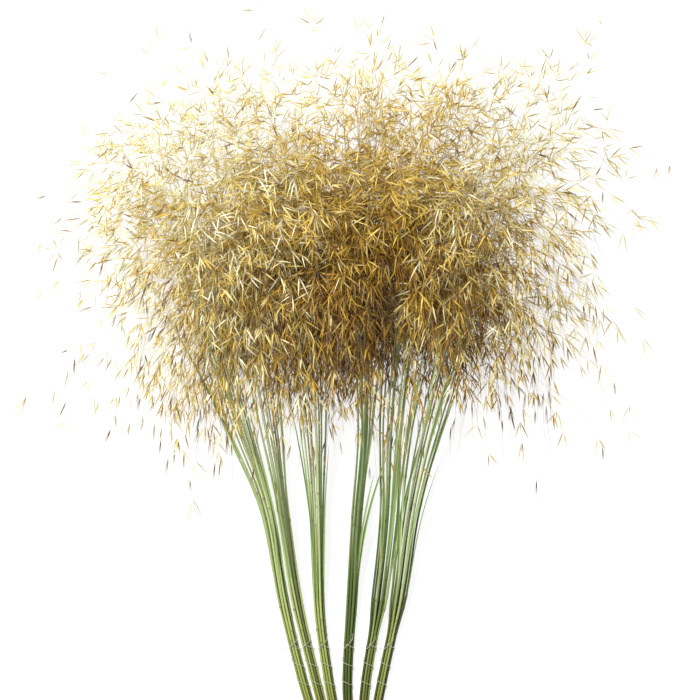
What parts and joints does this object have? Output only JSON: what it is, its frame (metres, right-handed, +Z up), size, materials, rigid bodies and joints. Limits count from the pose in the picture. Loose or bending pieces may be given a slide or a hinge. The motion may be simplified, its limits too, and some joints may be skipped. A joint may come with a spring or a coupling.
{
  "type": "feather grass bundle",
  "caption": "Bundle of tall cut feather grass lying on its side: green culms tied in small bunches with spiral twine, opening into one wide airy head of straw-gold spikelets.",
  "frame": {"origin": "on the surface that the bundle lies on, under the middle of its whole box", "axes": "+Z up from the surface; +Y along the bundle from the cut ends to the heads; +X to the right as seen from above with the heads away from the viewer"},
  "size_m": [1.1903, 1.3618, 0.3536],
  "materials": {
    "head_straw": "satin",
    "culm_green": "satin",
    "twine": "matte"
  },
  "bodies": {
    "root": {"stem_A1": "head_straw", "stem_A2": "head_straw", "stem_A3": "head_straw", "stem_A4": "head_straw", "stem_A5": "head_straw", "stem_A6": "head_straw", "stem_A7": "head_straw", "stem_A8": "head_straw", "stem_A9": "head_straw", "stem_B1": "head_straw", "stem_B2": "head_straw", "stem_B3": "head_straw", "stem_B4": "head_straw", "stem_B5": "head_straw", "stem_B6": "head_straw", "stem_B7": "head_straw", "stem_B8": "head_straw", "stem_B9": "head_straw", "stem_C1": "head_straw", "stem_C2": "head_straw", "stem_C3": "head_straw", "stem_C4": "head_straw", "stem_C5": "head_straw", "stem_C6": "head_straw", "stem_C7": "head_straw", "stem_C8": "head_straw", "stem_C9": "head_straw", "stem_D1": "head_straw", "stem_D2": "head_straw", "stem_D3": "head_straw", "stem_D4": "head_straw", "stem_D5": "head_straw", "stem_D6": "head_straw", "stem_D7": "head_straw", "stem_D8": "head_straw", "stem_D9": "head_straw", "stem_E1": "head_straw", "stem_E2": "head_straw", "stem_E3": "head_straw", "stem_E4": "head_straw", "stem_E5": "head_straw", "stem_E6": "head_straw", "stem_E7": "head_straw", "stem_E8": "head_straw", "stem_E9": "head_straw", "stem_F1": "head_straw", "stem_F2": "head_straw", "stem_F3": "head_straw", "stem_F4": "head_straw", "stem_F5": "head_straw", "stem_F6": "head_straw", "stem_F7": "head_straw", "stem_F8": "head_straw", "stem_F9": "head_straw", "twine_A": "twine", "twine_B": "twine", "twine_C": "twine", "twine_D": "twine", "twine_E": "twine", "twine_F": "twine"}
  },
  "joints": []
}
